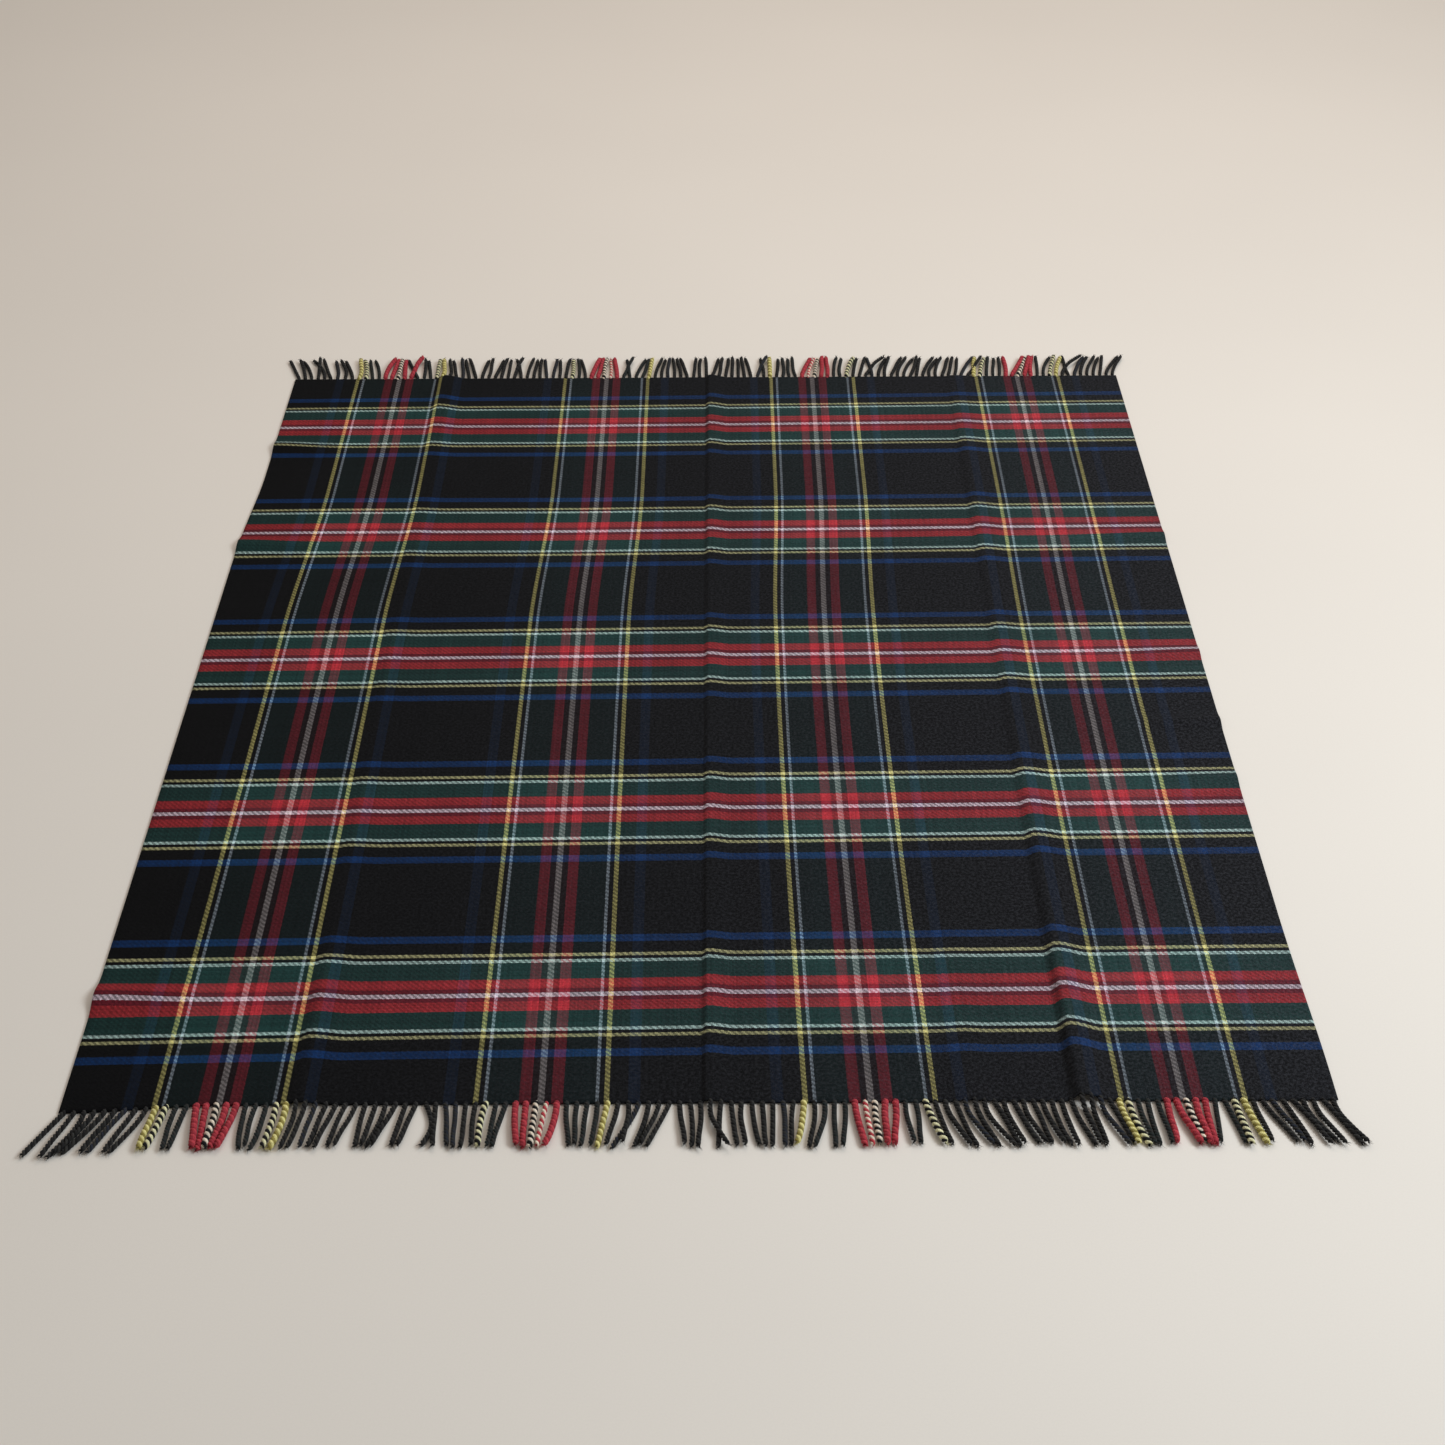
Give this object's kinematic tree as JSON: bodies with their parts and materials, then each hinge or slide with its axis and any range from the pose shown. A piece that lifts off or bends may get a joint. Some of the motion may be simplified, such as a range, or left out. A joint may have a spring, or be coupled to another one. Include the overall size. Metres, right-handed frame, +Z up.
{
  "type": "throw blanket",
  "caption": "Woven wool tartan throw laid open and flat, with twisted fringe at both ends and a pressed centre crease that folds it in half.",
  "frame": {"origin": "under the middle of the open throw, on the surface it rests on", "axes": "+X across the width towards the right selvedge, +Y along the length towards the back fringe, +Z up"},
  "size_m": [1.4496, 1.909, 0.0142],
  "materials": {
    "tartan_cloth": "matte",
    "black_wool": "matte",
    "yellow_wool": "matte",
    "white_wool": "matte",
    "red_wool": "matte"
  },
  "bodies": {
    "left_half": {"cloth_left_half": "tartan_cloth", "fringe_front_1_black": "black_wool", "fringe_front_1_yellow": "yellow_wool", "fringe_front_1_white": "white_wool", "fringe_front_1_red": "red_wool", "fringe_front_2_black": "black_wool", "fringe_front_2_yellow": "yellow_wool", "fringe_front_2_white": "white_wool", "fringe_front_2_red": "red_wool", "fringe_back_1_black": "black_wool", "fringe_back_1_yellow": "yellow_wool", "fringe_back_1_white": "white_wool", "fringe_back_1_red": "red_wool", "fringe_back_2_black": "black_wool", "fringe_back_2_yellow": "yellow_wool", "fringe_back_2_white": "white_wool", "fringe_back_2_red": "red_wool"},
    "right_half": {"cloth_right_half": "tartan_cloth", "fringe_front_3_black": "black_wool", "fringe_front_3_yellow": "yellow_wool", "fringe_front_3_white": "white_wool", "fringe_front_3_red": "red_wool", "fringe_front_4_black": "black_wool", "fringe_front_4_yellow": "yellow_wool", "fringe_front_4_white": "white_wool", "fringe_front_4_red": "red_wool", "fringe_back_3_black": "black_wool", "fringe_back_3_yellow": "yellow_wool", "fringe_back_3_white": "white_wool", "fringe_back_3_red": "red_wool", "fringe_back_4_black": "black_wool", "fringe_back_4_yellow": "yellow_wool", "fringe_back_4_white": "white_wool", "fringe_back_4_red": "red_wool"}
  },
  "joints": [
    {"name": "centre_fold", "type": "hinge", "parent": "left_half", "child": "right_half", "pos_m": [0, 0, 0.011], "axis": [0, -1, 0], "range_deg": [0, 180]}
  ]
}
